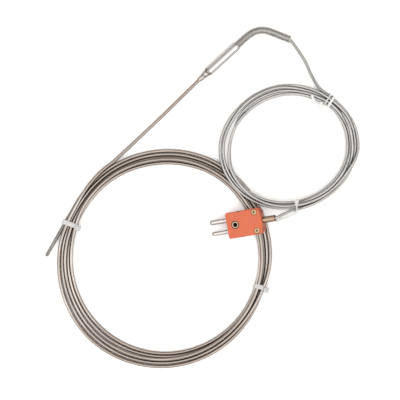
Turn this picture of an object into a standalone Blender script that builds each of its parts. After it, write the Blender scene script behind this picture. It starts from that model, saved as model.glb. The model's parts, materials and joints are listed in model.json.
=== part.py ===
"""Mineral-insulated thermocouple: a coiled metal-sheathed probe, a transition pot with a
relief spring, a braided flexible lead in a smaller coil, and a two-pin round-pin plug.

Metres, +Z up, lying on the plane z = 0.  The origin is under the middle of the probe
assembly (sheath coil, pot and spring), which is the object without its flexible lead.
"""
import math

import bmesh
import bpy
from mathutils import Matrix, Quaternion, Vector

MM = 0.001
GAP = 0.3 * MM                        # air between pieces that touch on the real object

# Metal-sheathed probe cable, wound into one flat coil
SHEATH_D = 3.2 * MM
SHEATH_WALL = 0.35 * MM
CONDUCTOR_D = 0.5 * MM
CONDUCTOR_OFFSET = 0.5 * MM           # each conductor's distance from the sheath's axis
COIL_CENTRE = (-3.0 * MM, -60.7 * MM)
COIL_INNER_R = 90.5 * MM
COIL_OUTER_R = 106.0 * MM
COIL_BASE = 1.4 * MM                  # the coil lies on its two nylon ties
COIL_HEIGHT = 6.6 * MM
TIP_END = (-118.8 * MM, -57.7 * MM, 1.7 * MM)
TIP_LENGTH = 19.5 * MM                # straight stretch between the coil and the hot end
TIP_HEADING = math.radians(240.2)
TIP_DROP = 0.045                      # slope of the straight tip towards the floor
RUN_START = (-47.1 * MM, 37.9 * MM, 3.2 * MM)

# Transition pot: neck, sleeve and what they hold, along one axis
POT_START = (39.5 * MM, 122.4 * MM, 4.4 * MM)
POT_HEADING = math.radians(42.45)
POT_LENGTH = 38.1 * MM
POT_R = 4.35 * MM
POT_BORE_R = 3.85 * MM
NECK_LENGTH = 12.0 * MM
BUSH_START = 30.0 * MM
BUSH_END = 33.6 * MM
SPLICE_START = 12.0 * MM
SPLICE_END = 20.0 * MM
SPLICE_R = 0.8 * MM
SPLICE_OFFSET = 1.7 * MM
CORE_WIRE_R = 0.55 * MM

# Close-wound relief spring, as its plain outer and inner walls
SPRING_R = 3.55 * MM
SPRING_WIRE = 1.1 * MM
SPRING_ROUTE_MM = [(67.9, 148.3, 4.3), (74.4, 154.3, 4.1), (80.7, 159.3, 4.0), (86.5, 162.2, 3.9),
                   (92.4, 163.1, 3.8), (97.9, 162.4, 3.7), (104.2, 160.1, 3.7), (111.3, 157.3, 3.7),
                   (119.0, 154.3, 3.7)]

# Braided flexible lead
LEAD_D = 2.8 * MM
LEAD_FREE_ROUTE_MM = [(111.3, 157.3, 3.7), (116.4, 155.2, 3.6), (120.6, 152.6, 3.2), (124.9, 147.4, 2.4),
                      (129.6, 140.7, 1.7), (134.0, 133.6, 1.5), (137.5, 126.6, 1.5),
                      (140.6, 119.3, 1.7), (144.9, 107.6, 2.6)]
LEAD_COIL_CENTRE = (119.3 * MM, 48.6 * MM)
LEAD_COIL_INNER_R = 55.2 * MM
LEAD_COIL_OUTER_R = 68.0 * MM
LEAD_COIL_FLATTENING = 0.906          # the coil's size along Y over its size along X
LEAD_COIL_HEIGHT = 6.0 * MM
LEAD_COIL_MIDDLE_Z = 8.25 * MM
LEAD_COIL_UPHILL = math.radians(221.8)    # heading of the side that lies on the sheath coil
LEAD_COIL_TILT = math.radians(3.2)
LEAD_TAIL_ROUTE_MM = [(111.3, -17.1, 20.6), (116.0, -15.0, 18.8), (120.2, -12.9, 16.5)]

# Ties
TIE_THICKNESS = 1.1 * MM
TIE_WIDTH = 4.6 * MM
TIE_HEAD = 4.6 * MM
TIE_HEAD_HEIGHT = 5.0 * MM
TWIST_TIE_D = 1.4 * MM

# Plug, in its own frame: origin at the lower front edge, +X to the cable, +Z to the cover
PLUG_ORIGIN = (61.4 * MM, -27.8 * MM, 2.8 * MM)
PLUG_HEADING = math.radians(10.0)
PLUG_TILT = math.radians(17.5)
PLUG_LENGTH = 35.3 * MM
PLUG_WIDTH = 25.4 * MM
PLUG_THICKNESS = 12.7 * MM
PLUG_SPLIT_Z = 6.35 * MM
PLUG_WALL = 2.4 * MM
PLUG_FLOOR = 1.8 * MM
FRONT_WALL = 4.0 * MM
PIN_SPACING = 11.1 * MM
PIN_PROJECTION = 18.0 * MM
PIN_NEGATIVE_R = 2.4 * MM
PIN_POSITIVE_R = 2.0 * MM
PIN_WAIST_R = 1.7 * MM
TERMINAL_X = 17.0 * MM
TERMINAL_BLOCK = (6.0 * MM, 4.6 * MM, 3.0 * MM)
TERMINAL_SCREW_R = 1.25 * MM
TERMINAL_HEAD_R = 2.3 * MM
EYELET_X = 8.6 * MM
EYELET_BORE_R = 1.95 * MM
EYELET_R = 2.3 * MM
EYELET_FLANGE_R = 3.5 * MM
COVER_SCREW_X = 29.1 * MM
COVER_SCREW_Y = 9.2 * MM
COVER_SCREW_R = 1.2 * MM
COVER_SCREW_HEAD_R = 2.7 * MM
INSERT_R = 2.1 * MM
BOSS_R = 2.9 * MM
FERRULE_R = 3.05 * MM
FERRULE_BORE_R = 1.9 * MM
FERRULE_START = 26.0 * MM
FERRULE_END = 48.0 * MM
NOTCH_X = 13.9 * MM
NOTCH_R = 0.8 * MM


# ---------------------------------------------------------------- scene helpers
def clear_scene():
    for old in list(bpy.data.objects):
        bpy.data.objects.remove(old, do_unlink=True)


def new_collection(name):
    collection = bpy.data.collections.new(name)
    bpy.context.scene.collection.children.link(collection)
    return collection


def finish_material(name, colour, roughness, metallic):
    material = bpy.data.materials.new(name)
    material.use_nodes = True
    shader = material.node_tree.nodes["Principled BSDF"]
    shader.inputs["Base Color"].default_value = (*colour, 1.0)
    shader.inputs["Roughness"].default_value = roughness
    shader.inputs["Metallic"].default_value = metallic
    return material


def add_object(name, data, material, parent=None, location=(0, 0, 0), rotation=(0, 0, 0)):
    obj = bpy.data.objects.new(name, data)
    PARTS.objects.link(obj)
    data.materials.append(material)
    obj.parent = parent
    obj.location = location
    obj.rotation_euler = rotation
    return obj


def frame_empty(name, location, quaternion):
    empty = bpy.data.objects.new(name, None)
    PARTS.objects.link(empty)
    empty.location = location
    empty.rotation_mode = "QUATERNION"
    empty.rotation_quaternion = quaternion
    return empty


def axis_frame(name, origin, direction):
    """An empty at origin whose local +Z points along direction."""
    return frame_empty(name, origin, Vector(direction).to_track_quat("Z", "Y"))


def smooth(mesh, angle=40):
    mesh.shade_smooth()
    mesh.set_sharp_from_angle(angle=math.radians(angle))


# ---------------------------------------------------------------- shape helpers
def mesh_from(bm, name):
    mesh = bpy.data.meshes.new(name)
    bmesh.ops.recalc_face_normals(bm, faces=bm.faces)
    bm.to_mesh(mesh)
    bm.free()
    return mesh


def box_mesh(name, low, high):
    low, high = Vector(low), Vector(high)
    bm = bmesh.new()
    place = Matrix.Translation((low + high) / 2) @ Matrix.Diagonal((*(high - low), 1))
    bmesh.ops.create_cube(bm, size=1.0, matrix=place)
    return mesh_from(bm, name)


def rod_mesh(name, radius, start, end, segments=24):
    """A cylinder between two points."""
    start, end = Vector(start), Vector(end)
    along = end - start
    turn = along.to_track_quat("Z", "Y").to_matrix().to_4x4()
    bm = bmesh.new()
    bmesh.ops.create_cone(bm, cap_ends=True, segments=segments, radius1=radius, radius2=radius,
                          depth=along.length, matrix=Matrix.Translation((start + end) / 2) @ turn)
    mesh = mesh_from(bm, name)
    smooth(mesh)
    return mesh


def ball_mesh(name, radius, centre):
    bm = bmesh.new()
    bmesh.ops.create_uvsphere(bm, u_segments=12, v_segments=8, radius=radius,
                              matrix=Matrix.Translation(centre))
    return mesh_from(bm, name)


def turned(name, outline, material, parent=None, steps=32, closed=False, **place):
    """Turn an outline of (radius, height) points about local Z with a Screw modifier."""
    mesh = bpy.data.meshes.new(name)
    count = len(outline)
    edges = [(i, i + 1) for i in range(count - 1)]
    if closed:
        edges.append((count - 1, 0))
    mesh.from_pydata([(r, 0, z) for r, z in outline], edges, [])
    obj = add_object(name, mesh, material, parent, **place)
    screw = obj.modifiers.new("Turn", "SCREW")
    screw.steps = steps
    screw.render_steps = steps
    screw.use_merge_vertices = True
    screw.merge_threshold = 0.00001
    screw.use_smooth_shade = True
    return obj


def tube_outline(outer, inner, low, high, chamfer=0.0):
    """Closed outline of a straight tube, down the outer side and back up the bore."""
    return [(outer - chamfer, high), (outer, high - chamfer), (outer, low + chamfer),
            (outer - chamfer, low), (inner, low), (inner, high)]


def smooth_route(points, spacing):
    """Even points along a Catmull-Rom curve through the given points."""
    knots = [Vector(p) for p in points]
    knots = [2 * knots[0] - knots[1], *knots, 2 * knots[-1] - knots[-2]]
    fine = []
    for a, b, c, d in zip(knots, knots[1:], knots[2:], knots[3:]):
        for i in range(24):
            t = i / 24
            fine.append(0.5 * (2 * b + (c - a) * t + (2 * a - 5 * b + 4 * c - d) * t ** 2
                               + (3 * b - a - 3 * c + d) * t ** 3))
    fine.append(knots[-2])
    lengths = [(q - p).length for p, q in zip(fine, fine[1:])]
    count = max(2, round(sum(lengths) / spacing))
    step = sum(lengths) / count
    route, walked, target = [fine[0]], 0.0, step
    for p, q, length in zip(fine, fine[1:], lengths):
        while walked + length >= target - 1e-9 and len(route) < count:
            route.append(p.lerp(q, (target - walked) / length))
            target += step
        walked += length
    route.append(fine[-1])
    return route


def tube(name, points, diameter, material, parent=None, resolution=2, caps=True):
    curve = bpy.data.curves.new(name, "CURVE")
    curve.dimensions = "3D"
    curve.bevel_depth = diameter / 2
    curve.bevel_resolution = resolution
    curve.use_fill_caps = caps
    spline = curve.splines.new("POLY")
    spline.points.add(len(points) - 1)
    for point, place in zip(spline.points, points):
        point.co = (*place, 1.0)
    spline.use_smooth = True
    return add_object(name, curve, material, parent)


def flat_outline(name, loops, thickness, material, parent, location, rotation):
    """A flat plate from closed outlines, the later ones being holes in the first."""
    curve = bpy.data.curves.new(name, "CURVE")
    curve.dimensions = "2D"
    curve.fill_mode = "BOTH"
    curve.extrude = thickness / 2
    for loop in loops:
        spline = curve.splines.new("POLY")
        spline.points.add(len(loop) - 1)
        for point, (x, y) in zip(spline.points, loop):
            point.co = (x, y, 0, 1)
        spline.use_cyclic_u = True
    return add_object(name, curve, material, parent, location, rotation)


def rounded_rectangle(half_width, half_height, radius, corner_steps=3):
    """Points of a rounded rectangle, counter-clockwise from its lower right corner."""
    points = []
    for quarter, (sx, sy) in enumerate([(1, -1), (1, 1), (-1, 1), (-1, -1)]):
        for i in range(corner_steps + 1):
            angle = math.pi / 2 * (quarter - 1 + i / corner_steps)
            points.append((sx * (half_width - radius) + radius * math.cos(angle),
                           sy * (half_height - radius) + radius * math.sin(angle)))
    return points


def apply_boolean(obj, mesh, operation, name):
    """Cut a mesh out of obj, or join it on, in obj's parent frame."""
    tool = bpy.data.objects.new(name, mesh)
    CUTTERS.objects.link(tool)
    tool.parent = obj.parent
    tool.hide_render = True
    tool.display_type = "WIRE"
    modifier = obj.modifiers.new(name, "BOOLEAN")
    modifier.operation = operation
    modifier.object = tool


def cut(obj, mesh):
    apply_boolean(obj, mesh, "DIFFERENCE", "cut_" + mesh.name)


def join(obj, mesh):
    apply_boolean(obj, mesh, "UNION", "join_" + mesh.name)


def bevel(obj, width, segments=2):
    modifier = obj.modifiers.new("Edges", "BEVEL")
    modifier.width = width
    modifier.segments = segments
    modifier.limit_method = "ANGLE"
    modifier.angle_limit = math.radians(50)


# ---------------------------------------------------------------- probe
def build_sheath():
    """The wound sheath as one ring, and the straight run from it to the pot's neck."""
    middle_r = (COIL_INNER_R + COIL_OUTER_R) / 2
    section = rounded_rectangle((COIL_OUTER_R - COIL_INNER_R) / 2, COIL_HEIGHT / 2, SHEATH_D)
    outline = [(middle_r + x, z) for x, z in reversed(section)]
    turned("sheath_coil", outline, STEEL, steps=64, closed=True,
           location=(*COIL_CENTRE, COIL_BASE + COIL_HEIGHT / 2))
    neck = pot_point(-NECK_LENGTH)
    inside = pot_point(3.0 * MM)
    middle = Vector(RUN_START).lerp(neck, 0.5) + Vector((0.4 * MM, -0.4 * MM, 0))
    route = smooth_route([RUN_START, middle, neck, inside], 3 * SHEATH_D)
    tube("sheath_run", route, SHEATH_D, STEEL, resolution=3)


def build_tip():
    """The hot end, opened up: sheath tube, end cap, mineral core, conductors and junction."""
    slope = math.cos(TIP_HEADING), math.sin(TIP_HEADING), -TIP_DROP
    frame = axis_frame("tip_axis", TIP_END, slope)
    outer, bore = SHEATH_D / 2, SHEATH_D / 2 - SHEATH_WALL
    cap_depth = 0.7 * MM
    turned("tip_sheath", tube_outline(outer, bore, -TIP_LENGTH, -cap_depth - GAP), DARK_STEEL,
           frame, steps=20, closed=True)
    turned("tip_end_cap", [(0, 0), (outer * 0.75, 0), (outer, -outer * 0.25),
                           (outer, -cap_depth), (0, -cap_depth)], DARK_STEEL, frame, steps=20)
    bead_r = 0.6 * MM
    bead_z = -cap_depth - GAP - 1.2 * bead_r
    add_object("measuring_junction", ball_mesh("measuring_junction", bead_r, (0, 0, bead_z)),
               ALLOY, frame)
    core_top = bead_z - bead_r - GAP
    core = add_object("tip_mineral_core",
                      rod_mesh("tip_mineral_core", bore - GAP / 2, (0, 0, -TIP_LENGTH + GAP),
                               (0, 0, core_top)), MINERAL, frame)
    for sign, pole in ((1, "positive"), (-1, "negative")):
        x = sign * CONDUCTOR_OFFSET
        cut(core, rod_mesh("bore_" + pole, CONDUCTOR_D / 2 + GAP / 2.4, (x, 0, -TIP_LENGTH),
                           (x, 0, 0), 12))
        name = "tip_conductor_" + pole
        add_object(name, rod_mesh(name, CONDUCTOR_D / 2, (x, 0, -TIP_LENGTH + GAP),
                                  (x, 0, bead_z - bead_r), 10), ALLOY, frame)


# ---------------------------------------------------------------- transition pot
def pot_point(distance):
    heading = Vector((math.cos(POT_HEADING), math.sin(POT_HEADING), 0))
    return Vector(POT_START) + heading * distance


def build_pot():
    frame = axis_frame("pot_axis", POT_START, (math.cos(POT_HEADING), math.sin(POT_HEADING), 0))
    build_neck(frame)
    turned("pot_sleeve", tube_outline(POT_R, POT_BORE_R, GAP, POT_LENGTH, 0.35 * MM),
           POLISHED, frame, closed=True)
    turned("lead_bush", tube_outline(POT_BORE_R - GAP, LEAD_D / 2 + GAP, BUSH_START, BUSH_END),
           BRASS, frame, steps=24, closed=True)
    compound = add_object("potting_compound",
                          rod_mesh("potting_compound", POT_BORE_R - GAP, (0, 0, 7.0 * MM),
                                   (0, 0, BUSH_START - GAP)), RESIN, frame)
    for sign, pole in ((1, "positive"), (-1, "negative")):
        x = sign * SPLICE_OFFSET
        cut(compound, rod_mesh("channel_" + pole, SPLICE_R + GAP, (x, 0, 0),
                               (x, 0, BUSH_START), 16))
        name = "splice_" + pole
        add_object(name, rod_mesh(name, SPLICE_R, (x, 0, SPLICE_START), (x, 0, SPLICE_END), 16),
                   BRASS, frame)
        near = sign * CONDUCTOR_OFFSET
        tube("splice_tail_" + pole, [(near, 0, 3.3 * MM), (near, 0, 3.9 * MM), (x, 0, 6.2 * MM),
                                     (x, 0, SPLICE_START - GAP)], CONDUCTOR_D, ALLOY, frame)
        tube("lead_core_" + pole, [(x, 0, SPLICE_END + GAP), (x, 0, BUSH_START - 0.6 * MM)],
             2 * CORE_WIRE_R, INSULATION, frame)


def build_neck(frame):
    """Stepped reducer: two tapered lands on the sheath, a shoulder, and a spigot in the pot."""
    bore = SHEATH_D / 2 + GAP
    outline = [(POT_BORE_R - GAP, 2.6 * MM), (POT_BORE_R - GAP, 0), (POT_R - 0.15 * MM, 0),
               (POT_R - 0.35 * MM, -0.8 * MM), (3.3 * MM, -1.6 * MM), (2.85 * MM, -5.4 * MM),
               (2.55 * MM, -5.8 * MM), (2.25 * MM, -NECK_LENGTH), (bore, -NECK_LENGTH),
               (bore, 2.6 * MM)]
    turned("neck_reducer", outline, STEEL, frame, closed=True)


def build_spring():
    route = [pot_point(BUSH_END + GAP), *(Vector(p) * MM for p in SPRING_ROUTE_MM)]
    spring = tube("relief_spring", smooth_route(route, 4.0 * MM), 2 * SPRING_R, SPRING_STEEL,
                  resolution=4, caps=False)
    wall = spring.modifiers.new("Wall", "SOLIDIFY")
    wall.thickness = SPRING_WIRE
    wall.offset = -1.0


# ---------------------------------------------------------------- flexible lead
def build_lead():
    inside = [pot_point(BUSH_START + GAP), pot_point(BUSH_END)]
    spring_part = [Vector(p) * MM for p in SPRING_ROUTE_MM[:-2]]
    free_part = [Vector(p) * MM for p in LEAD_FREE_ROUTE_MM]
    tube("lead_run", smooth_route(inside + spring_part + free_part, 2.2 * LEAD_D), LEAD_D, BRAID)
    entry = [plug_point(x, 0, PLUG_SPLIT_Z) for x in (29.0 * MM, 38.0 * MM, FERRULE_END)]
    tail = [Vector(p) * MM for p in LEAD_TAIL_ROUTE_MM]
    tube("lead_tail", smooth_route(entry + tail, 2.0 * LEAD_D), LEAD_D, BRAID)


def build_lead_coil():
    """The wound lead as one flattened ring, leaning on the sheath coil, with its two ties."""
    downhill_axis = (math.sin(LEAD_COIL_UPHILL), -math.cos(LEAD_COIL_UPHILL), 0)
    frame = frame_empty("lead_coil_frame", (*LEAD_COIL_CENTRE, LEAD_COIL_MIDDLE_Z),
                        Quaternion(downhill_axis, LEAD_COIL_TILT))
    middle_r = (LEAD_COIL_INNER_R + LEAD_COIL_OUTER_R) / 2
    half_width = (LEAD_COIL_OUTER_R - LEAD_COIL_INNER_R) / 2
    section = rounded_rectangle(half_width, LEAD_COIL_HEIGHT / 2, LEAD_D)
    ring = turned("lead_coil", [(middle_r + x, z) for x, z in reversed(section)], BRAID, frame,
                  steps=48, closed=True)
    ring.scale = (1.0, LEAD_COIL_FLATTENING, 1.0)
    wind_twist_tie("twist_tie_upper", frame, middle_r, math.radians(54), 2, 6.6 * MM, 5.0 * MM)
    wind_twist_tie("twist_tie_lower", frame, middle_r, math.radians(276), 1, 2.6 * MM, 4.0 * MM)


def wind_twist_tie(name, frame, middle_r, angle, turns, advance, tail):
    """A wire tie wound round the coil's section, moving along the coil as it goes."""
    clear = GAP + TWIST_TIE_D / 2 + 0.1 * MM
    loop = rounded_rectangle((LEAD_COIL_OUTER_R - LEAD_COIL_INNER_R) / 2 + clear,
                             LEAD_COIL_HEIGHT / 2 + clear, LEAD_D + clear, 3)
    centre = Vector((middle_r * math.cos(angle),
                     LEAD_COIL_FLATTENING * middle_r * math.sin(angle), 0))
    outward = Vector((LEAD_COIL_FLATTENING * math.cos(angle), math.sin(angle), 0)).normalized()
    along = Vector((outward.y, -outward.x, 0))
    count = turns * len(loop) + 1
    points = []
    for i in range(count):
        x, z = loop[(i + len(loop) // 2) % len(loop)]
        shift = advance * (i / (count - 1) - 0.5)
        points.append(centre + outward * x + along * shift + Vector((0, 0, z)))
    inner_end = points[-1]
    points.append(inner_end - outward * tail * 0.5 + along * tail * 0.4 - Vector((0, 0, 1.2 * MM)))
    tube(name, points, TWIST_TIE_D, WHITE, frame)


# ---------------------------------------------------------------- nylon ties on the sheath coil
def build_cable_tie(name, angle, head_side):
    """A strap round the coil's section with its locking head on one side, as one moulding."""
    half_width = (COIL_OUTER_R - COIL_INNER_R) / 2 + GAP
    half_height = COIL_HEIGHT / 2 + GAP
    hole = rounded_rectangle(half_width, half_height, SHEATH_D)
    outer = rounded_rectangle(half_width + TIE_THICKNESS, half_height + TIE_THICKNESS,
                              SHEATH_D + TIE_THICKNESS)
    reach = half_width + TIE_THICKNESS + TIE_HEAD
    half_head = TIE_HEAD_HEIGHT / 2
    strap = [p for p in outer if abs(p[1]) > half_head or p[0] * head_side < 0]
    corner = [(head_side * reach, half_head), (head_side * reach, -half_head)]
    first = next(i for i, p in enumerate(strap)
                 if p[0] * head_side > 0 and p[1] * head_side > half_head)
    if head_side > 0:
        corner.reverse()
    root = [(head_side * (half_width + TIE_THICKNESS * 0.6), y) for y in (half_head, -half_head)]
    if head_side > 0:
        root.reverse()
    bump = [root[0], *corner, root[1]]
    outline = strap[:first] + bump + strap[first:]
    middle_r = (COIL_INNER_R + COIL_OUTER_R) / 2
    place = (COIL_CENTRE[0] + middle_r * math.cos(angle), COIL_CENTRE[1] + middle_r * math.sin(angle),
             COIL_BASE + COIL_HEIGHT / 2)
    flat_outline(name, [outline, hole], TIE_WIDTH, NYLON, None, place, (math.pi / 2, 0, angle))


# ---------------------------------------------------------------- plug
def plug_point(x, y, z):
    return PLUG_MATRIX @ Vector((x, y, z))


def plug_blank(name, low_z, high_z, material, frame):
    """One half of the body: a plate whose rear corners are cut back, with softened edges."""
    half, front_corner, rear_corner = PLUG_WIDTH / 2, 1.2 * MM, 3.2 * MM
    outline = [(0, front_corner - half), (front_corner, -half), (PLUG_LENGTH - rear_corner, -half),
               (PLUG_LENGTH, rear_corner - half), (PLUG_LENGTH, half - rear_corner),
               (PLUG_LENGTH - rear_corner, half), (front_corner, half), (0, half - front_corner)]
    bm = bmesh.new()
    face = bm.faces.new([bm.verts.new((x, y, low_z)) for x, y in outline])
    top = bmesh.ops.extrude_face_region(bm, geom=[face])
    lifted = [v for v in top["geom"] if isinstance(v, bmesh.types.BMVert)]
    bmesh.ops.translate(bm, verts=lifted, vec=(0, 0, high_z - low_z))
    half_body = add_object(name, mesh_from(bm, name), material, frame)
    bevel(half_body, 0.6 * MM, 1)
    return half_body


def cut_plug_cavity(half_body, low_z, high_z):
    """The hollow for the terminals, the pin grooves and the cable groove, in one half."""
    side = PLUG_WIDTH / 2 - PLUG_WALL
    rear = PLUG_LENGTH - FRONT_WALL
    cut(half_body, box_mesh(half_body.name + "_hollow", (FRONT_WALL, -side, low_z),
                            (rear, side, high_z)))
    for y, radius, pole in ((PIN_SPACING / 2, PIN_NEGATIVE_R, "_negative"),
                            (-PIN_SPACING / 2, PIN_POSITIVE_R, "_positive")):
        cut(half_body, rod_mesh(half_body.name + pole, radius + GAP, (-1 * MM, y, PLUG_SPLIT_Z),
                                (FRONT_WALL + 0.5 * MM, y, PLUG_SPLIT_Z)))
    cut(half_body, rod_mesh(half_body.name + "_cable", FERRULE_R + GAP,
                            (rear - 0.5 * MM, 0, PLUG_SPLIT_Z),
                            (PLUG_LENGTH + 1 * MM, 0, PLUG_SPLIT_Z)))
    for side_name, y in (("_left", PLUG_WIDTH / 2), ("_right", -PLUG_WIDTH / 2)):
        cut(half_body, rod_mesh(half_body.name + "_notch" + side_name, NOTCH_R,
                                (NOTCH_X, y, -1 * MM), (NOTCH_X, y, PLUG_THICKNESS + 1 * MM), 12))


def build_plug_base(frame):
    top = PLUG_SPLIT_Z - GAP / 2
    base = plug_blank("plug_base", 0, top, ORANGE, frame)
    cut_plug_cavity(base, PLUG_FLOOR, top + 1 * MM)
    join(base, rod_mesh("eyelet_boss", BOSS_R, (EYELET_X, 0, PLUG_FLOOR - 0.5 * MM),
                        (EYELET_X, 0, top)))
    cut(base, rod_mesh("eyelet_way", EYELET_BORE_R, (EYELET_X, 0, -1 * MM),
                       (EYELET_X, 0, top + 1 * MM)))
    for side, y in (("left", COVER_SCREW_Y), ("right", -COVER_SCREW_Y)):
        join(base, rod_mesh("insert_boss_" + side, BOSS_R + 0.3 * MM,
                            (COVER_SCREW_X, y, PLUG_FLOOR - 0.5 * MM), (COVER_SCREW_X, y, top)))
        cut(base, rod_mesh("insert_seat_" + side, INSERT_R + GAP, (COVER_SCREW_X, y, PLUG_FLOOR),
                           (COVER_SCREW_X, y, top + 1 * MM)))
        turned("screw_insert_" + side,
               tube_outline(INSERT_R, COVER_SCREW_R + GAP, PLUG_FLOOR + GAP, top - GAP), BRASS,
               frame, steps=20, closed=True, location=(COVER_SCREW_X, y, 0))


def build_plug_cover(frame):
    bottom = PLUG_SPLIT_Z + GAP / 2
    ceiling = PLUG_THICKNESS - PLUG_FLOOR
    cover = plug_blank("plug_cover", bottom, PLUG_THICKNESS, ORANGE, frame)
    cut_plug_cavity(cover, bottom - 1 * MM, ceiling)
    join(cover, rod_mesh("eyelet_collar", EYELET_FLANGE_R, (EYELET_X, 0, bottom),
                         (EYELET_X, 0, ceiling + 0.5 * MM)))
    cut(cover, rod_mesh("eyelet_seat", EYELET_R + GAP, (EYELET_X, 0, bottom - 1 * MM),
                        (EYELET_X, 0, PLUG_THICKNESS + 1 * MM)))
    flange_depth = 0.9 * MM
    cut(cover, rod_mesh("flange_seat", EYELET_FLANGE_R + GAP,
                        (EYELET_X, 0, PLUG_THICKNESS - flange_depth),
                        (EYELET_X, 0, PLUG_THICKNESS + 1 * MM)))
    flange_low, flange_high = PLUG_THICKNESS - flange_depth + GAP, PLUG_THICKNESS + 0.2 * MM
    edge = 0.3 * MM
    turned("eyelet", [(EYELET_FLANGE_R - edge, flange_high), (EYELET_FLANGE_R, flange_high - edge),
                      (EYELET_FLANGE_R, flange_low), (EYELET_R, flange_low), (EYELET_R, bottom),
                      (EYELET_BORE_R, bottom), (EYELET_BORE_R, flange_high - edge),
                      (EYELET_BORE_R + edge, flange_high)],
           BRIGHT, frame, steps=28, closed=True, location=(EYELET_X, 0, 0))
    head_depth = 1.5 * MM
    for side, y in (("left", COVER_SCREW_Y), ("right", -COVER_SCREW_Y)):
        join(cover, rod_mesh("screw_boss_" + side, BOSS_R + 0.3 * MM, (COVER_SCREW_X, y, bottom),
                             (COVER_SCREW_X, y, ceiling + 0.5 * MM)))
        cut(cover, rod_mesh("screw_way_" + side, COVER_SCREW_R + GAP,
                            (COVER_SCREW_X, y, bottom - 1 * MM),
                            (COVER_SCREW_X, y, PLUG_THICKNESS + 1 * MM)))
        cut(cover, rod_mesh("head_seat_" + side, COVER_SCREW_HEAD_R + GAP,
                            (COVER_SCREW_X, y, PLUG_THICKNESS - head_depth),
                            (COVER_SCREW_X, y, PLUG_THICKNESS + 1 * MM)))
        build_screw("cover_screw_" + side, COVER_SCREW_R, COVER_SCREW_HEAD_R, head_depth - GAP,
                    PLUG_THICKNESS - head_depth + GAP - 2.6 * MM - PLUG_SPLIT_Z,
                    (COVER_SCREW_X, y, PLUG_THICKNESS), frame)


def build_screw(name, radius, head_r, head_height, shank, place, frame):
    """A cross-slotted screw whose origin is at the middle of its head's top."""
    length = head_height + shank + 4.0 * MM
    screw = turned(name, [(0, 0), (head_r - 0.3 * MM, 0), (head_r, -0.3 * MM), (head_r, -head_height),
                          (radius, -head_height), (radius, -length), (0, -length)],
                   BRASS, frame, steps=20, location=place)
    slot_half, slot_depth = 0.45 * MM, 0.7 * MM
    reach = head_r * 0.62
    x, y, z = place
    across = box_mesh(name + "_across", (x - reach, y - slot_half, z - slot_depth),
                      (x + reach, y + slot_half, z + 1 * MM))
    along = box_mesh(name + "_along", (x - slot_half, y - reach, z - slot_depth - 0.01 * MM),
                     (x + slot_half, y + reach, z + 1.01 * MM))
    cut(screw, across)
    cut(screw, along)


def build_contacts(frame):
    """Each pole: its pin with a terminal block, the clamp washer, the screw and the wire."""
    for sign, pole, radius in ((1, "negative", PIN_NEGATIVE_R), (-1, "positive", PIN_POSITIVE_R)):
        y = sign * PIN_SPACING / 2
        name = "pin_" + pole
        shoulder = 1.2 * MM
        turn_to_x = (0, -math.pi / 2, 0)
        pin = turned(name, [(0, PIN_PROJECTION), (radius - shoulder, PIN_PROJECTION),
                            (radius, PIN_PROJECTION - shoulder), (radius, -FRONT_WALL + 1 * MM),
                            (PIN_WAIST_R, -FRONT_WALL + 0.5 * MM), (PIN_WAIST_R, -TERMINAL_X),
                            (0, -TERMINAL_X)], NICKEL, frame,
                     steps=20, location=(0, y, PLUG_SPLIT_Z), rotation=turn_to_x)
        length, width, height = TERMINAL_BLOCK
        block_low, block_high = PLUG_SPLIT_Z - 1.7 * MM, PLUG_SPLIT_Z - 1.7 * MM + height
        join(pin, box_mesh(name + "_block", (TERMINAL_X - length / 2, y - width / 2, block_low),
                           (TERMINAL_X + length / 2, y + width / 2, block_high)))
        cut(pin, rod_mesh(name + "_thread", TERMINAL_SCREW_R + GAP,
                          (TERMINAL_X, y, block_low - 1 * MM), (TERMINAL_X, y, PLUG_THICKNESS), 16))
        cut(pin, box_mesh(name + "_flat", (TERMINAL_X - length / 2, y - width, block_high),
                          (TERMINAL_X + length, y + width, PLUG_THICKNESS)))
        washer_low = block_high + GAP
        washer_high = washer_low + 0.6 * MM
        turned("wire_clamp_" + pole,
               tube_outline(TERMINAL_HEAD_R, TERMINAL_SCREW_R + GAP, washer_low, washer_high), NICKEL,
               frame, steps=20, closed=True, location=(TERMINAL_X, y, 0))
        head = 1.4 * MM
        head_top = washer_high + GAP + head
        build_screw("terminal_screw_" + pole, TERMINAL_SCREW_R, TERMINAL_HEAD_R, head, 0.4 * MM,
                    (TERMINAL_X, y, head_top), frame)
        wire_z = block_high - 0.5 * MM
        wire = smooth_route([(28.7 * MM, sign * 0.62 * MM, PLUG_SPLIT_Z),
                             (25.2 * MM, sign * 0.7 * MM, PLUG_SPLIT_Z), (22.6 * MM, y * 0.7, wire_z),
                             (TERMINAL_X + length / 2 + GAP, y, wire_z)], 1.2 * MM)
        tube("terminal_wire_" + pole, wire, 1.0 * MM, INSULATION, frame)


def build_ferrule(frame):
    """Brass cable bush with a countersunk mouth, clamped between the two halves."""
    mouth = 1.2 * MM
    turned("cable_ferrule", [(FERRULE_R, -FERRULE_START), (FERRULE_R, -FERRULE_END),
                             (FERRULE_BORE_R + 0.7 * MM, -FERRULE_END),
                             (FERRULE_BORE_R, -FERRULE_END + mouth), (FERRULE_BORE_R, -FERRULE_START)],
           BRASS, frame, steps=28, closed=True, location=(0, 0, PLUG_SPLIT_Z),
           rotation=(0, -math.pi / 2, 0))


def build_plug():
    frame = frame_empty("plug_frame", PLUG_ORIGIN, PLUG_MATRIX.to_quaternion())
    build_plug_base(frame)
    build_plug_cover(frame)
    build_contacts(frame)
    build_ferrule(frame)


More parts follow.
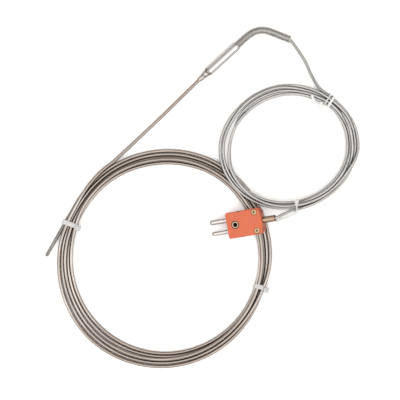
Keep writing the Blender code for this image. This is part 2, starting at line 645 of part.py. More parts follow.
# ---------------------------------------------------------------- assembly
clear_scene()
PARTS = new_collection("thermocouple")
CUTTERS = new_collection("cutters")
STEEL = finish_material("sheath_steel", (0.56, 0.53, 0.50), 0.35, 1.0)
DARK_STEEL = finish_material("tip_steel", (0.40, 0.37, 0.34), 0.45, 1.0)
POLISHED = finish_material("polished_steel", (0.78, 0.77, 0.76), 0.12, 1.0)
SPRING_STEEL = finish_material("spring_steel", (0.50, 0.50, 0.49), 0.3, 1.0)
BRAID = finish_material("steel_braid", (0.62, 0.61, 0.60), 0.4, 0.9)
BRASS = finish_material("brass", (0.72, 0.52, 0.26), 0.3, 1.0)
NICKEL = finish_material("pin_alloy", (0.80, 0.78, 0.76), 0.22, 1.0)
BRIGHT = finish_material("eyelet_metal", (0.82, 0.80, 0.76), 0.2, 1.0)
ALLOY = finish_material("thermo_alloy", (0.66, 0.62, 0.58), 0.3, 1.0)
MINERAL = finish_material("mineral_powder", (0.90, 0.90, 0.88), 0.9, 0.0)
RESIN = finish_material("potting_resin", (0.12, 0.11, 0.10), 0.5, 0.0)
INSULATION = finish_material("wire_insulation", (0.85, 0.83, 0.78), 0.6, 0.0)
ORANGE = finish_material("orange_thermoplastic", (0.84, 0.16, 0.06), 0.45, 0.0)
NYLON = finish_material("clear_nylon", (0.85, 0.85, 0.84), 0.35, 0.0)
WHITE = finish_material("white_plastic", (0.90, 0.90, 0.89), 0.4, 0.0)
PLUG_MATRIX = (Matrix.Translation(PLUG_ORIGIN) @ Matrix.Rotation(PLUG_HEADING, 4, "Z")
               @ Matrix.Rotation(-PLUG_TILT, 4, "Y"))

build_sheath()
build_tip()
build_pot()
build_spring()
build_lead()
build_lead_coil()
build_cable_tie("cable_tie_left", math.radians(159.6), -1)
build_cable_tie("cable_tie_right", math.radians(343.8), 1)
build_plug()
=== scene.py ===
import json
import math

import bmesh
import bpy
import numpy as np
from mathutils import Matrix, Vector, kdtree


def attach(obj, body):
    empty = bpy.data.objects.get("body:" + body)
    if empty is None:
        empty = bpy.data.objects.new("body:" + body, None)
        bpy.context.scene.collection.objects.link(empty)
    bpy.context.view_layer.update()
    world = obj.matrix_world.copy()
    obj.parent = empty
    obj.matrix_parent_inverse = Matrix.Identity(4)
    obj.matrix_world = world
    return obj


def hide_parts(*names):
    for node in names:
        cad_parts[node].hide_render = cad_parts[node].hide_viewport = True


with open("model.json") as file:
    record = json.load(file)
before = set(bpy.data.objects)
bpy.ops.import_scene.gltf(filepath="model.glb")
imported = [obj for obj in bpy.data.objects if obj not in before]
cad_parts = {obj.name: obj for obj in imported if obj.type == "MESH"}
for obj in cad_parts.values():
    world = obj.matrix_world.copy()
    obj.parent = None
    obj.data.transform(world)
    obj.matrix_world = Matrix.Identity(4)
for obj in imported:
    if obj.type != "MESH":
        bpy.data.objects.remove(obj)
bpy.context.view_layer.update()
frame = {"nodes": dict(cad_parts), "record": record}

MM = 0.001

# Sizes and routes shared with the CAD
SHEATH_D = 3.2 * MM
COIL_CENTRE = Vector((-3.0, -60.7, 0.0)) * MM
COIL_FLOOR = 1.4 * MM
TIP_END = Vector((-118.8, -57.7, 1.7)) * MM
TIP_LENGTH = 19.5 * MM
TIP_HEADING = math.radians(240.2)
TIP_DROP = 0.045
POT_START = Vector((39.5, 122.4, 4.4)) * MM
POT_HEADING = math.radians(42.45)
NECK_LENGTH = 12.0 * MM
BUSH_START = 30.0 * MM
BUSH_END = 33.6 * MM
SPRING_R = 3.55 * MM
SPRING_ROUTE_MM = [(67.9, 148.3, 4.3), (74.4, 154.3, 4.1), (80.7, 159.3, 4.0), (86.5, 162.2, 3.9),
                   (92.4, 163.1, 3.8), (97.9, 162.4, 3.7), (104.2, 160.1, 3.7), (111.3, 157.3, 3.7),
                   (119.0, 154.3, 3.7)]
LEAD_D = 2.8 * MM
LEAD_FREE_ROUTE_MM = [(111.3, 157.3, 3.7), (116.4, 155.2, 3.6), (120.6, 152.6, 3.2),
                      (124.9, 147.4, 2.4), (129.6, 140.7, 1.7), (134.0, 133.6, 1.5),
                      (137.5, 126.6, 1.5), (140.6, 119.3, 1.7)]
LEAD_COIL_CENTRE = Vector((119.3, 48.6, 8.25)) * MM
LEAD_COIL_FLATTENING = 0.9
LEAD_COIL_HEIGHT = 6.0 * MM
LEAD_COIL_UPHILL = math.radians(221.8)
LEAD_COIL_TILT = math.radians(3.2)
LEAD_TAIL_ROUTE_MM = [(120.2, -12.9, 16.5), (116.0, -15.0, 18.8), (111.3, -17.1, 20.6)]
PLUG_ORIGIN = Vector((61.4, -27.8, 2.8)) * MM
PLUG_HEADING = math.radians(10.0)
PLUG_TILT = math.radians(17.5)
PLUG_SPLIT_Z = 6.35 * MM
FERRULE_END = 48.0 * MM
PLUG_MATRIX = (Matrix.Translation(PLUG_ORIGIN) @ Matrix.Rotation(PLUG_HEADING, 4, "Z")
               @ Matrix.Rotation(-PLUG_TILT, 4, "Y"))
TIE_WIDTH = 4.5 * MM
TIE_THICKNESS = 1.0 * MM

# Places for finishes and for painted shade, in mm in the plug's frame, or along the sheath
EYELET_X, NOTCH_X = 8.6, 13.9
TIP_SHADE_START = 3262.0
# Painted dark reflection lines along the sleeve: share of the way round, half width, strength
SLEEVE_REFLECTION_LINES = [(0.222, 0.035, 0.5), (0.251, 0.012, 0.45), (0.163, 0.014, 0.35)]
# How far from a neighbour a strand's surface still counts as in the groove between them, for the
# painted shade there
SHEATH_GROOVE_REACH = 1.0 * MM
LEAD_GROOVE_REACH = 0.75 * MM
# Strength of the painted shade in grooves, then the slope and strength of the painted shade on
# undersides
GROOVE_GAIN = 1.8
UNDERSIDE_SLOPE, UNDERSIDE_GAIN = 0.66, 1.25

# Studio
SOFT_BOX = (1.3, 0.38, 1.2)       # slopes from the vertical: half width, far side, near side
BOX_COLOUR = (1.72, 1.70, 1.67)
FRAME_COLOUR = (0.08, 0.06, 0.05)
SKY = [(0.0, (0.24, 0.215, 0.20)), (0.3, (0.62, 0.59, 0.57)), (0.7, (0.90, 0.87, 0.85))]
SKY_STRENGTH = 1.42


# ---------------------------------------------------------------- camera and cord routes
def place_camera():
    """Straight above the object."""
    distance, view_width = 1.6, 0.392
    data = bpy.data.cameras.new("camera")
    data.sensor_width = 36.0
    data.lens = data.sensor_width * distance / view_width
    data.clip_end = 20.0
    camera = bpy.data.objects.new("camera", data)
    camera.location = (0.0316, -0.0029, distance)
    bpy.context.scene.collection.objects.link(camera)
    bpy.context.scene.camera = camera


def pot_point(distance):
    """A point on the pot's axis, at a distance from the sleeve's start."""
    heading = Vector((math.cos(POT_HEADING), math.sin(POT_HEADING), 0))
    return POT_START + heading * distance


def plug_point(x, y, z):
    """A point given in the plug's own frame."""
    return PLUG_MATRIX @ Vector((x, y, z))


def walked_along(places):
    """Distance along a line at each of its points."""
    return np.concatenate([[0], np.cumsum(np.linalg.norm(np.diff(places, axis=0), axis=1))])


def resampled(at, walked, values):
    """Values known at walked distances, read off at other distances."""
    return np.stack([np.interp(at, walked, values[:, k]) for k in range(3)], 1)


def smooth_route(points, spacing):
    """Even points along a Catmull-Rom curve through the given points."""
    knots = [Vector(p) for p in points]
    knots = [2 * knots[0] - knots[1], *knots, 2 * knots[-1] - knots[-2]]
    fine = []
    for a, b, c, d in zip(knots, knots[1:], knots[2:], knots[3:]):
        steps = max(4, round(6 * (c - b).length / spacing))
        for i in range(steps):
            t = i / steps
            fine.append(0.5 * (2 * b + (c - a) * t + (2 * a - 5 * b + 4 * c - d) * t ** 2
                               + (3 * b - a - 3 * c + d) * t ** 3))
    fine.append(knots[-2])
    fine = np.array(fine)
    walked = walked_along(fine)
    count = max(2, round(walked[-1] / spacing))
    even = np.linspace(0, walked[-1], count + 1)
    return [Vector(p) for p in resampled(even, walked, fine)]


def wound(turns, start, end, direction, per_turn, diameter, top):
    """Angle, radius and height of each point of a wound cable whose turns lie on each other.

    turns holds one list for each turn, of (degrees, radius in mm, layer), in the order in which
    the cable runs; direction is 1 or -1 for the sense of winding.  Turns that come too close are
    pushed apart, sideways and up, until each rests on its neighbours.
    """
    sweeps, sweeps_between_softenings, soft_degrees = 240, 12, 9
    radius_pull, height_pull, push_share, sideways_share, layer_share = 0.05, 0.02, 0.2, 0.4, 0.95
    rows = [row for turn, rows in enumerate(turns)
            for row in [(a + 360 * turn * direction, r, layer) for a, r, layer in rows]]
    rows.sort(key=lambda row: row[0] * direction)
    angles = np.array([row[0] for row in rows], float) * direction
    step = 360 / per_turn
    at = np.arange(start * direction, end * direction + step / 2, step)
    aim = np.interp(at, angles, [row[1] for row in rows]) * MM
    lift = np.interp(at, angles, [row[2] for row in rows]) * diameter * layer_share
    window = np.hanning(2 * round(soft_degrees / step) + 3)
    window /= window.sum()

    def softened(values):
        half = len(window) // 2
        padded = np.concatenate([2 * values[0] - values[half:0:-1], values,
                                 2 * values[-1] - values[-2:-half - 2:-1]])
        return np.convolve(padded, window, "valid")

    aim, lift = softened(aim), softened(lift)
    radius, height = aim.copy(), lift.copy()
    for sweep_number in range(sweeps):
        radius += radius_pull * (aim - radius)
        height += height_pull * (lift - height)
        for apart in range(per_turn, len(at), per_turn):
            for shift in (-1, 0, 1):
                near, far = slice(0, len(at) - apart - 1), slice(apart + shift, len(at) - 1 + shift)
                if apart + shift < 0 or far.stop > len(at):
                    continue
                across = radius[far] - radius[near]
                up = height[far] - height[near]
                distance = np.sqrt(across ** 2 + up ** 2) + 1e-9
                push = np.clip(diameter - distance, 0, None) * push_share / distance
                radius[far] += across * push * sideways_share
                radius[near] -= across * push * sideways_share
                height[far] += up * push
                height[near] -= up * push
        height = np.clip(height, 0, top - diameter)
        if (sweep_number + 1) % sweeps_between_softenings == 0:
            radius = aim + softened(radius - aim)
            height = lift + softened(height - lift)
    return at * direction, radius, np.clip(height, 0, top - diameter)


# Each turn of the sheath coil, counter-clockwise from where the straight run meets it:
# (degrees, radius in mm, layer).  Layer 0 lies on the floor and layer 1 on the turns beneath.
SHEATH_TURNS = [
    [(118, 107.3, 0.1), (130, 104.8, 0.9), (140, 102.2, 1), (150, 100.4, 1), (160, 100.8, 0.9),
     (170, 103.1, 0), (180, 103.4, 0), (200, 105.4, 0), (230, 107.1, 0), (245, 106.5, 0),
     (270, 105.3, 0), (300, 102.8, 0), (320, 101.2, 0), (344, 99.5, 0), (360, 99.9, 0),
     (390, 101.6, 0), (405, 101.9, 1), (420, 100.2, 0), (440, 99.9, 0), (460, 98.9, 0),
     (480, 97.8, 0)],
    [(135, 96.6, 0), (150, 95.6, 0), (165, 96.2, 0.4), (180, 97.2, 0.6), (200, 97.9, 0),
     (230, 99.5, 0), (245, 99.0, 0.6), (270, 98.0, 1), (300, 95.8, 1), (320, 95.0, 1),
     (344, 95.2, 1), (360, 95.2, 1), (390, 96.8, 1), (420, 98.3, 1), (440, 98.2, 1),
     (460, 97.0, 1), (480, 96.4, 1), (495, 95.2, 1)],
    [(150, 94.2, 1), (160, 92.4, 0.8), (170, 91.9, 0), (200, 91.5, 0), (230, 91.6, 0),
     (250, 92.0, 0), (270, 92.3, 0), (300, 92.4, 0), (320, 93.0, 0), (344, 93.1, 0),
     (360, 93.5, 0), (390, 94.3, 0), (420, 95.9, 0), (440, 94.6, 0), (460, 93.7, 0),
     (480, 93.6, 0), (495, 93.1, 0)],
    [(150, 92.7, 0), (165, 93.8, 0), (180, 94.6, 0), (200, 94.6, 0), (230, 95.5, 0),
     (245, 95.3, 0), (270, 95.6, 0), (300, 95.7, 0), (320, 96.0, 0), (344, 96.2, 0),
     (360, 96.7, 0), (390, 98.6, 0), (405, 101.0, 0), (420, 103.5, 0), (440, 103.0, 0),
     (460, 101.8, 0), (480, 100.7, 0), (495, 99.6, 0)],
    [(150, 98.6, 0), (170, 99.6, 0), (180, 100.0, 0), (200, 101.4, 0), (230, 103.2, 0),
     (245, 102.9, 0), (270, 101.6, 0), (300, 99.6, 0.2), (320, 98.4, 0.8), (335, 98.9, 1),
     (344, 100.3, 1), (352, 102.2, 0.5), (360, 103.3, 0), (390, 105.4, 0), (420, 107.0, 0),
     (440, 106.7, 0), (460, 105.3, 0), (480, 103.9, 0), (495, 102.6, 0), (510, 101.7, 0)],
]


def sheath_route():
    """The straight run from the pot's neck, five turns, and the start of the straight tip."""
    first, last = 118, 4 * 360 + 509
    angle, radius, height = wound(SHEATH_TURNS, first, last, 1, 120, SHEATH_D, 6.5 * MM)
    turn = np.radians(angle)
    sag = 1.1 * MM * np.clip(np.cos(turn - math.radians(250)), 0, 1) ** 2
    coil = [Vector((COIL_CENTRE.x + r * math.cos(a), COIL_CENTRE.y + r * math.sin(a),
                    COIL_FLOOR + SHEATH_D / 2 + h - low))
            for a, r, h, low in zip(turn, radius, height, sag)]
    neck = pot_point(-NECK_LENGTH)
    middle = coil[0].lerp(neck, 0.5) + Vector((0.4, -0.4, -0.3)) * MM
    run = smooth_route([coil[0], middle, neck, pot_point(2.0 * MM)], 3.0 * MM)
    slope = Vector((math.cos(TIP_HEADING), math.sin(TIP_HEADING), -TIP_DROP)).normalized()
    tip_start = TIP_END - slope * TIP_LENGTH
    leaving = [coil[-1], coil[-1].lerp(tip_start, 0.5) + Vector((0, 0, 0.1 * MM)), tip_start]
    return run[::-1] + coil[1:-1] + smooth_route(leaving, 3.0 * MM)


# Ends of the two twist ties, in mm, from where each leaves the coil
UPPER_TAILS = [[(149.0, 88.0, 4.5), (146.6, 89.6, 6.0)],
               [(148.0, 89.8, 5.5), (143.6, 93.0, 8.0), (140.6, 99.4, 9.6)]]
LOWER_TAILS = [[(124.8, -14.2, 8.5), (122.4, -16.8, 8.0)],
               [(125.8, -15.0, 9.0), (120.5, -18.0, 7.0), (112.0, -21.5, 5.0), (105.6, -24.0, 4.0)]]

# Each turn of the lead coil, clockwise from where the lead meets it
LEAD_TURNS = [
    [(66, 70.8, 0), (63, 69.2, 0), (50, 67.1, 0), (30, 67.2, 0), (10, 67.2, 0), (0, 66.9, 0),
     (-10, 65.7, 0.5), (-20, 62.7, 1), (-30, 61.6, 1), (-40, 61.4, 1), (-60, 61.6, 1),
     (-70, 61.6, 1), (-80, 62.6, 1), (-90, 63.7, 1), (-110, 65.5, 1), (-125, 65.0, 1),
     (-140, 63.6, 1), (-160, 62.4, 0.8), (-170, 60.4, 0.9), (-180, 58.9, 1), (-200, 57.6, 1),
     (-210, 57.2, 1), (-220, 56.7, 0.5), (-230, 56.5, 0), (-240, 56.5, 0), (-260, 57.4, 0),
     (-280, 58.6, 0)],
    [(63, 58.3, 0), (50, 60.3, 0), (30, 58.9, 0), (10, 57.3, 0), (0, 56.7, 0), (-20, 56.5, 0),
     (-40, 56.1, 0), (-60, 57.3, 0), (-70, 58.1, 0), (-80, 59.6, 0), (-90, 60.8, 0),
     (-110, 62.2, 0), (-125, 62.9, 0), (-140, 63.0, 0), (-160, 61.4, 0), (-170, 59.6, 0),
     (-180, 58.6, 0), (-200, 57.5, 0), (-210, 57.9, 0), (-220, 60.0, 0), (-230, 60.6, 0),
     (-240, 60.8, 0), (-260, 62.0, 0), (-280, 61.1, 0)],
    [(63, 61.0, 0), (50, 62.0, 1), (30, 61.2, 0.4), (10, 59.6, 0), (0, 59.3, 0), (-20, 58.8, 0.6),
     (-40, 58.3, 1), (-60, 59.1, 1), (-70, 59.8, 1), (-80, 61.4, 0.6), (-90, 62.7, 0),
     (-110, 65.0, 0), (-125, 65.7, 0), (-140, 65.8, 0), (-160, 65.9, 0), (-180, 65.1, 0),
     (-200, 63.6, 0), (-210, 63.0, 0), (-220, 63.6, 0.5), (-230, 63.9, 0.7), (-240, 64.5, 0.7),
     (-260, 65.7, 0.8), (-280, 63.8, 0)],
    [(63, 63.6, 0), (50, 63.7, 0), (30, 62.9, 0.9), (10, 61.2, 1), (0, 61.2, 0.9),
     (-20, 60.2, 0), (-40, 59.6, 0), (-60, 61.3, 0), (-70, 62.7, 0), (-80, 63.9, 0),
     (-90, 65.2, 0), (-110, 67.6, 0), (-125, 68.4, 0), (-140, 68.5, 0), (-160, 68.9, 0),
     (-180, 68.2, 0), (-200, 66.6, 0), (-210, 65.8, 0), (-220, 65.3, 0), (-240, 66.2, 0),
     (-260, 67.1, 0), (-280, 67.1, 0)],
    [(63, 66.2, 0.2), (50, 65.1, 1), (30, 65.5, 0.5), (10, 64.3, 0), (0, 63.9, 0), (-20, 63.8, 0),
     (-30, 63.5, 0), (-40, 63.8, 0), (-60, 64.3, 0), (-70, 65.6, 0.1), (-80, 66.8, 0.6),
     (-84, 67.3, 1.2)],
]


def lead_coil_floor(x, y):
    """Height of the plane that the tilted lead coil lies on."""
    uphill = math.cos(LEAD_COIL_UPHILL) * x + math.sin(LEAD_COIL_UPHILL) * y
    return LEAD_COIL_CENTRE.z - LEAD_COIL_HEIGHT / 2 + math.tan(LEAD_COIL_TILT) * uphill


def lead_route():
    """From the bush in the pot, through the spring, round the coil and into the plug."""
    first, last = 66, -4 * 360 - 82
    angle, radius, height = wound(LEAD_TURNS, first, last, -1, 96, LEAD_D * 0.97, 5.8 * MM)
    coil = []
    for a, r, h in zip(np.radians(angle), radius, height):
        x, y = r * math.cos(a), LEAD_COIL_FLATTENING * r * math.sin(a)
        coil.append(LEAD_COIL_CENTRE * Vector((1, 1, 0))
                    + Vector((x, y, lead_coil_floor(x, y) + LEAD_D / 2 + h)))
    inside = [pot_point(BUSH_START + 0.3 * MM), pot_point(BUSH_END)]
    spring_part = [Vector(p) * MM for p in SPRING_ROUTE_MM[:-2]]
    free_part = [Vector(p) * MM for p in LEAD_FREE_ROUTE_MM]
    tail = [Vector(p) * MM for p in LEAD_TAIL_ROUTE_MM]
    entry = [plug_point(x, 0, PLUG_SPLIT_Z) for x in (FERRULE_END, 38.0 * MM, 29.0 * MM)]
    knots = inside + spring_part + free_part + coil[::3] + tail + entry
    return smooth_route(knots, 1.8 * MM)


# ---------------------------------------------------------------- shapes
def transport(points, first_up=(0, 0, 1)):
    """A side and an up vector at each point of a line, without twist."""
    places = np.array(points, float)
    along = np.gradient(places, axis=0)
    along /= np.linalg.norm(along, axis=1)[:, None]
    up = np.array(first_up, float)
    ups = []
    for t in along:
        up = up - t * (up @ t)
        up /= np.linalg.norm(up)
        ups.append(up)
    ups = np.array(ups)
    return np.cross(along, ups), ups


def grid_mesh(name, rings, closed=False):
    """A mesh from rings of points, with a UV map of (mm along, share of the way round)."""
    rings = np.array(rings, float)
    count, around = rings.shape[:2]
    walked = walked_along(rings.mean(1)) / MM
    faces, corners = [], []
    for i in range(count if closed else count - 1):
        k = (i + 1) % count
        far = walked[k] if k else 2 * walked[-1] - walked[-2]
        for j in range(around):
            n = (j + 1) % around
            faces.append((i * around + j, i * around + n, k * around + n, k * around + j))
            v0, v1 = j / around, (j + 1) / around
            corners += [(walked[i], v0), (walked[i], v1), (far, v1), (far, v0)]
    if not closed:
        faces.append(tuple(range(around))[::-1])
        corners += [(0.0, j / around) for j in range(around)][::-1]
        last = (count - 1) * around
        faces.append(tuple(range(last, last + around)))
        corners += [(walked[-1], j / around) for j in range(around)]
    mesh = bpy.data.meshes.new(name)
    mesh.from_pydata(rings.reshape(-1, 3).tolist(), [], faces)
    layer = mesh.uv_layers.new(name="along")
    layer.data.foreach_set("uv", np.array(corners, np.float32).ravel())
    bm = bmesh.new()
    bm.from_mesh(mesh)
    bmesh.ops.recalc_face_normals(bm, faces=bm.faces)
    bm.to_mesh(mesh)
    bm.free()
    mesh.shade_smooth()
    mesh.set_sharp_from_angle(angle=math.radians(50))
    return mesh


def sweep(name, points, outline, closed=False, first_up=(0, 0, 1)):
    """An outline of (side, up) points carried along a line."""
    places = np.array(points, float)
    side, up = transport(points, first_up)
    outline = np.array(outline, float)
    rings = (places[:, None]
             + (side[:, None] * outline[None, :, :1] + up[:, None] * outline[None, :, 1:]))
    return grid_mesh(name, rings, closed=closed)


def mark_shade_masks(mesh, path, radius, reach):
    """Store how deep each vertex lies in a groove between strands, and how far under it faces, as
    masks for painted shade.
    """
    spacing, own_stretch = 0.7 * MM, 6 * radius
    places = np.array(path, float)
    walked = walked_along(places)
    even = np.arange(0, walked[-1], spacing)
    fine = resampled(even, walked, places)
    tree = kdtree.KDTree(len(fine))
    for i, point in enumerate(fine):
        tree.insert(point, i)
    tree.balance()
    around = len(mesh.vertices) // len(path)
    # Masks for painted shade: in the grooves between strands, and on the undersides
    groove_shade = mesh.attributes.new("groove_shade", "FLOAT", "POINT")
    underside_shade = mesh.attributes.new("underside_shade", "FLOAT", "POINT")
    for i, vertex in enumerate(mesh.vertices):
        own = walked[min(i // around, len(path) - 1)]
        gaps = [gap for _, j, gap in tree.find_range(vertex.co, radius + reach)
                if abs(even[j] - own) > own_stretch]
        depth = 1 - (min(gaps) - radius) / reach if gaps else 0.0
        tilt = UNDERSIDE_GAIN * (1 - vertex.normal.z / UNDERSIDE_SLOPE)
        groove_shade.data[i].value = max(0.0, min(1.0, GROOVE_GAIN * depth))
        underside_shade.data[i].value = max(0.0, min(1.0, tilt))


def circle(radius, count):
    """Outline points of a circle."""
    turns = [2 * math.pi * i / count for i in range(count)]
    return [(radius * math.cos(turn), radius * math.sin(turn)) for turn in turns]


def rounded_rectangle(half_width, half_height, radius, corner_steps):
    """Outline points of a rectangle with round corners."""
    points = []
    for quarter, (sx, sy) in enumerate([(1, -1), (1, 1), (-1, 1), (-1, -1)]):
        for i in range(corner_steps + 1):
            angle = math.pi / 2 * (quarter - 1 + i / corner_steps)
            points.append((sx * (half_width - radius) + radius * math.cos(angle),
                           sy * (half_height - radius) + radius * math.sin(angle)))
    return points


def add_piece(name, mesh, material, body):
    """An object with one material that rides a body."""
    piece = bpy.data.objects.new(name, mesh)
    bpy.context.scene.collection.objects.link(piece)
    mesh.materials.clear()
    mesh.materials.append(material)
    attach(piece, body)
    return piece


# ---------------------------------------------------------------- materials
class Nodes:
    """A node material and short ways to add to it."""

    def __init__(self, name):
        self.material = bpy.data.materials.new(name)
        self.material.use_nodes = True
        self.tree = self.material.node_tree
        self.shader = self.tree.nodes["Principled BSDF"]

    def add(self, kind, settings=None, **inputs):
        """A node with the given settings and inputs."""
        node = self.tree.nodes.new(kind)
        for key, value in (settings or {}).items():
            setattr(node, key, value)
        for key, value in inputs.items():
            self.feed(node.inputs[key.replace("_", " ")], value)
        return node

    def feed(self, socket, value):
        """Give a socket a link or a value."""
        if isinstance(value, bpy.types.NodeSocket):
            self.tree.links.new(value, socket)
        else:
            socket.default_value = value

    def place(self, coords, scale=(1, 1, 1)):
        """Scaled texture coordinates."""
        source = self.add("ShaderNodeTexCoord").outputs[coords]
        return self.add("ShaderNodeMapping", Vector=source, Scale=scale).outputs[0]

    def axes(self, coords):
        """The three parts of texture coordinates."""
        return self.add("ShaderNodeSeparateXYZ", Vector=self.place(coords)).outputs

    def noise(self, vector, detail):
        return self.add("ShaderNodeTexNoise", Vector=vector, Scale=1.0, Detail=detail,
                        Roughness=0.55).outputs["Fac"]

    def ramp(self, factor, stops):
        """A colour ramp through (place, colour) stops."""
        node = self.add("ShaderNodeValToRGB", Fac=factor)
        elements = node.color_ramp.elements
        while len(elements) < len(stops):
            elements.new(0.5)
        for element, (place, colour) in zip(elements, stops):
            element.position = place
            element.color = (*colour, 1.0)
        return node.outputs["Color"]

    def math(self, operation, a, b=0.0):
        node = self.add("ShaderNodeMath", {"operation": operation})
        for socket, value in zip(node.inputs, (a, b)):
            self.feed(socket, value)
        return node.outputs[0]

    def spread(self, factor, low, high):
        """A factor from 0 to 1 stretched to run from low to high."""
        node = self.add("ShaderNodeMapRange", Value=factor)
        node.inputs["To Min"].default_value = low
        node.inputs["To Max"].default_value = high
        return node.outputs[0]

    def plug_axes(self):
        """x, y and z in the plug's own frame, in mm: x from the front face to the cable."""
        source = self.add("ShaderNodeTexCoord").outputs["Object"]
        turned = self.add("ShaderNodeMapping", {"vector_type": "TEXTURE"}, Vector=source,
                          Location=PLUG_ORIGIN, Rotation=PLUG_MATRIX.to_euler(), Scale=(MM, MM, MM))
        return self.add("ShaderNodeSeparateXYZ", Vector=turned.outputs[0]).outputs

    def step(self, value, edge, soft):
        """0 below the edge, 1 above it, over a soft width; a negative width turns it round."""
        node = self.add("ShaderNodeMapRange", {"interpolation_type": "SMOOTHSTEP"}, Value=value)
        low, high = edge - abs(soft) / 2, edge + abs(soft) / 2
        for name, number in zip(("From Min", "From Max", "To Min", "To Max"),
                                (low, high, 0, 1) if soft > 0 else (low, high, 1, 0)):
            node.inputs[name].default_value = number
        return node.outputs[0]

    def away(self, value, middle, edge, soft):
        """A step on how far a value is from a middle one."""
        return self.step(self.math("ABSOLUTE", self.math("SUBTRACT", value, middle)), edge, soft)

    def from_eyelet(self, x, y):
        """Distance from the eyelet's axis, in the plug's frame."""
        offset = self.math("SUBTRACT", x, EYELET_X)
        return self.math("SQRT", self.math("ADD", self.math("POWER", offset, 2.0),
                                           self.math("POWER", y, 2.0)))

    def attribute(self, name):
        """A value stored at the mesh's vertices."""
        return self.add("ShaderNodeAttribute", {"attribute_name": name}).outputs["Fac"]

    def blend(self, factor, first, second, share=None):
        """The first colour, mixed with the second by a factor, or by a share of that factor."""
        if share is not None:
            factor = self.math("MULTIPLY", factor, share)
        node = self.add("ShaderNodeMix", {"data_type": "RGBA"})
        colours = [socket for socket in node.inputs if socket.type == "RGBA"]
        self.feed(node.inputs["Factor"], factor)
        self.feed(colours[0], first)
        self.feed(colours[1], (*second, 1.0) if isinstance(second, tuple) else second)
        return next(socket for socket in node.outputs if socket.type == "RGBA")

    def paint_groove_and_underside_shade(self, colour, groove_shade_colour, edge, underside_shade_share):
        """Set the colour of bare metal, with painted shade towards the underside and painted shade
        in the grooves between strands, which are also dull.
        """
        # edge is the colour of the painted shade on the underside
        shaded = self.blend(self.attribute("underside_shade"), colour, edge, underside_shade_share)
        groove_shade = self.attribute("groove_shade")
        bare = self.math("SUBTRACT", 1.0, groove_shade)
        self.set(Base_Color=self.blend(groove_shade, shaded, groove_shade_colour), Metallic=bare)
        self.dull(groove_shade)

    def dull(self, factor):
        """Take the gloss away where the factor is high."""
        left = self.math("SUBTRACT", 1.0, factor)
        self.set(Specular_IOR_Level=self.math("MULTIPLY", left, 0.5))

    def bump(self, height, strength, distance_mm):
        """Relief from a height."""
        node = self.add("ShaderNodeBump", Height=height, Strength=strength,
                        Distance=distance_mm * MM)
        self.feed(self.shader.inputs["Normal"], node.outputs[0])

    def set(self, **inputs):
        """Feed the shader's own inputs."""
        for key, value in inputs.items():
            self.feed(self.shader.inputs[key.replace("_", " ")], value)


def grained(name, dark, light, rough, metallic, scale, bump=(0.15, 0.02), marks=(), **extra):
    """A finish whose colour, roughness and relief vary with a fine grain.

    marks holds functions that take the nodes and the colour and give a changed colour, most of them
    painted shade."""
    n = Nodes(name)
    grain = n.noise(n.place("Object", (scale,) * 3), 4.0)
    patches = n.noise(n.place("Object", (scale * 0.06,) * 3), 2.0)
    mixed = n.math("ADD", n.math("MULTIPLY", grain, 0.6), n.math("MULTIPLY", patches, 0.4))
    tone = n.ramp(mixed, [(0.32, dark), (0.68, light)])
    for mark in marks:
        tone = mark(n, tone)
    n.set(Base_Color=tone, Roughness=n.spread(mixed, *rough), Metallic=metallic, **extra)
    n.bump(grain, *bump)
    return n.material


def plug_painted_shade(n, tone):
    """Painted shade in the bores and notches, in a shallow groove across the cover, along the front
    edge and on the rear face.
    """
    x, y, _ = n.plug_axes()
    bore_shade = n.step(n.from_eyelet(x, y), 3.95, -0.2)
    sideways = n.math("ABSOLUTE", y)
    notch_shade = n.math("MULTIPLY", n.away(x, NOTCH_X, 1.0, -0.3), n.step(sideways, 11.75, 0.3))
    groove_shade = n.math("MULTIPLY", n.away(x, 25.6, 0.35, -0.3), n.step(sideways, 5.0, -0.6))
    rear_shade = n.step(n.math("ADD", x, n.math("MULTIPLY", sideways, 0.18)), 36.2, 1.6)
    # Mask for the painted shade along the front edge
    front = n.step(x, 0.55, -0.5)
    n.dull(n.math("MAXIMUM", n.math("MAXIMUM", notch_shade, bore_shade), n.math("MULTIPLY", rear_shade, 0.8)))
    # Painted shade on the rear face, along the front edge, in the groove, the notches and the bore
    tone = n.blend(rear_shade, tone, (0.20, 0.055, 0.03), 0.85)
    tone = n.blend(front, tone, (0.42, 0.05, 0.02), 0.5)
    tone = n.blend(groove_shade, tone, (0.30, 0.05, 0.02), 0.35)
    tone = n.blend(notch_shade, tone, (0.07, 0.012, 0.006))
    return n.blend(bore_shade, tone, (0.006, 0.004, 0.003))


def pin_marks(n, tone):
    """Pins with painted shade down their sides, darker at their tips, and a machined band by the
    body.
    """
    x, y, _ = n.plug_axes()
    # Painted shade down the sides, lighter on the upper pin
    side = n.away(n.math("ABSOLUTE", y), 5.55, 1.75, 0.7)
    tip = n.step(x, -16.2, -1.4)
    band = n.away(x, -3.2, 0.5, -0.5)
    upper = n.step(y, 0.0, 1.0)
    side = n.math("MULTIPLY", side, n.math("SUBTRACT", 0.85, n.math("MULTIPLY", upper, 0.5)))
    tone = n.blend(side, tone, (0.10, 0.085, 0.08))
    tone = n.blend(band, tone, (0.16, 0.13, 0.12), 0.45)
    return n.blend(tip, tone, (0.07, 0.06, 0.055), 0.8)


def screw_slot_shade(n, tone):
    """Painted shade in the cross slot and round the rim."""
    # Painted shade on everything below the screw's top face
    slot_shade = n.step(n.plug_axes()[2], 12.45, -0.1)
    return n.blend(slot_shade, tone, (0.05, 0.03, 0.015))


def ferrule_marks(n, tone):
    """A brown mouth and shaded sides."""
    x, y, _ = n.plug_axes()
    tone = n.blend(n.step(n.math("ABSOLUTE", y), 2.3, 0.8), tone, (0.09, 0.055, 0.035), 0.8)
    return n.blend(n.step(x, 47.2, 0.8), tone, (0.05, 0.035, 0.025), 0.8)


